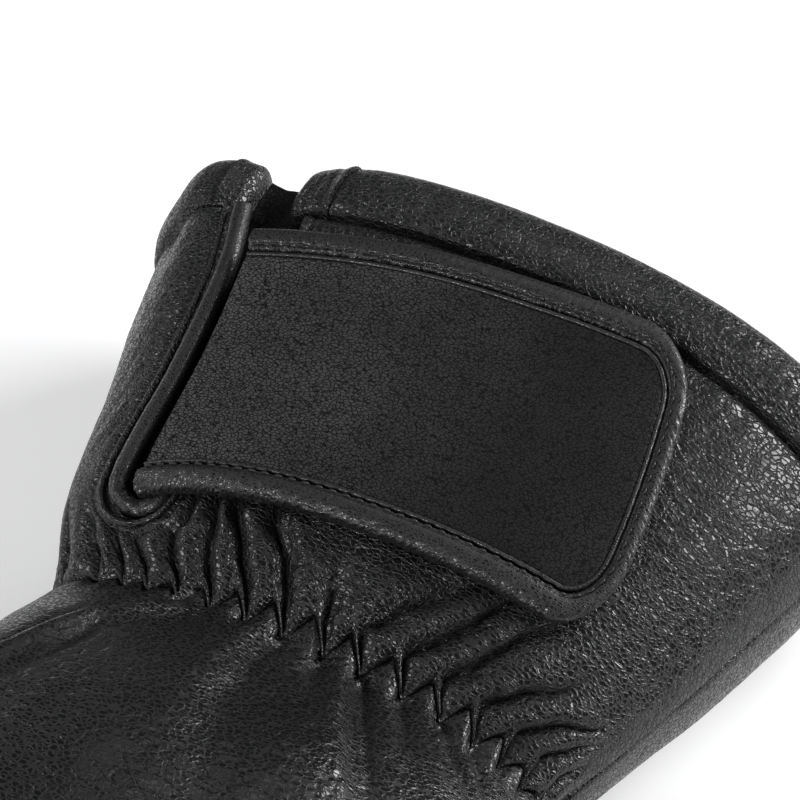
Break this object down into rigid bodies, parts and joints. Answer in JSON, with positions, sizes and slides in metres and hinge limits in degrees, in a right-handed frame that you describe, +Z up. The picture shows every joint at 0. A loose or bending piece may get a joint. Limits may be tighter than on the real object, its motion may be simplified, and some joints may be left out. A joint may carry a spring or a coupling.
{
  "type": "leather mitten",
  "caption": "Padded leather mitten with a gathered wrist, a flared cuff with a piped slit and rolled rim, and a wide strap over its back.",
  "frame": {"origin": "middle of the underside of the mitten's box, on the surface it lies on", "axes": "+Z up from that surface, +Y towards the open rim, -Y towards the fingertips, -X towards the thumb"},
  "size_m": [0.1693, 0.282, 0.0603],
  "materials": {
    "hand_leather": "soft grained, semi-gloss, black",
    "strap_leather": "fine grained, matte, black",
    "trim_leather": "smooth, glossy, black"
  },
  "bodies": {
    "root": {"hand_back": "hand_leather", "hand_palm": "hand_leather", "thumb": "hand_leather", "cuff_back": "hand_leather", "cuff_palm": "hand_leather", "rim_roll": "trim_leather", "rim_end_left": "trim_leather", "rim_end_right": "trim_leather", "slit_piping": "trim_leather", "slit_gusset": "hand_leather", "strap_panel": "strap_leather", "strap_binding": "trim_leather"}
  },
  "joints": []
}
